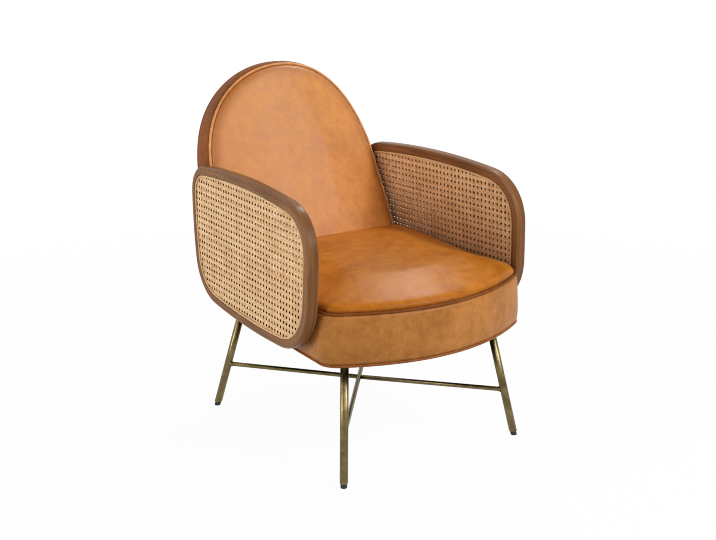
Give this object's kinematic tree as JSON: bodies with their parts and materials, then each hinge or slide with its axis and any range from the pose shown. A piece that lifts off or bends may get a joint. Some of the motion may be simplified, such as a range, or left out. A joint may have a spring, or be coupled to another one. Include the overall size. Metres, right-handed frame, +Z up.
{
  "type": "upholstered lounge chair with cane side panels",
  "caption": "Low lounge chair with a crowned leather seat, a round-topped piped back, bent-wood arm frames filled with woven cane, and splayed brass tube legs with crossed rods.",
  "frame": {"origin": "on the floor, below the middle of the chair's outer box", "axes": "+Z up, the sitter faces -Y, +X is the sitter's left"},
  "size_m": [0.5862, 0.723, 0.8145],
  "materials": {
    "leather": "smooth tan pull-up leather",
    "piping": "tan leather cord",
    "brass": "antique brass, brushed",
    "rubber": "black rubber",
    "steel": "zinc plated",
    "walnut": "satin walnut stain",
    "cane": "natural woven cane",
    "spline": "natural reed spline",
    "plywood": "bare plywood",
    "padding": "white wadding over foam",
    "lining": "black non-woven dust cloth"
  },
  "bodies": {
    "root": {"leg_front_right": "brass", "glide_front_right": "rubber", "mounting_plate_front_right": "steel", "leg_front_left": "brass", "glide_front_left": "rubber", "mounting_plate_front_left": "steel", "leg_rear_right": "brass", "glide_rear_right": "rubber", "mounting_plate_rear_right": "steel", "leg_rear_left": "brass", "glide_rear_left": "rubber", "mounting_plate_rear_left": "steel", "plate_screw_1": "steel", "plate_screw_2": "steel", "plate_screw_3": "steel", "plate_screw_4": "steel", "plate_screw_5": "steel", "plate_screw_6": "steel", "plate_screw_7": "steel", "plate_screw_8": "steel", "cross_rod_full": "brass", "cross_rod_front_left": "brass", "cross_rod_rear_right": "brass", "arm_frame_right": "walnut", "cane_outer_right": "cane", "cane_spline_outer_right": "spline", "cane_inner_right": "cane", "cane_spline_inner_right": "spline", "arm_stud_right_1": "steel", "arm_stud_right_2": "steel", "arm_spacer_right_1": "rubber", "arm_spacer_right_2": "rubber", "arm_frame_left": "walnut", "cane_outer_left": "cane", "cane_spline_outer_left": "spline", "cane_inner_left": "cane", "cane_spline_inner_left": "spline", "arm_stud_left_1": "steel", "arm_stud_left_2": "steel", "arm_spacer_left_1": "rubber", "arm_spacer_left_2": "rubber", "seat_board": "plywood", "dust_cover": "lining", "seat_box": "padding", "seat_band": "leather", "seat_piping_top": "piping", "seat_piping_bottom": "piping", "seat_cushion": "leather", "back_cushion": "leather", "back_ply": "plywood", "back_panel": "leather", "back_band": "leather", "back_piping_front": "piping", "back_piping_rear": "piping", "back_bolt_1": "steel", "back_bolt_2": "steel"}
  },
  "joints": []
}
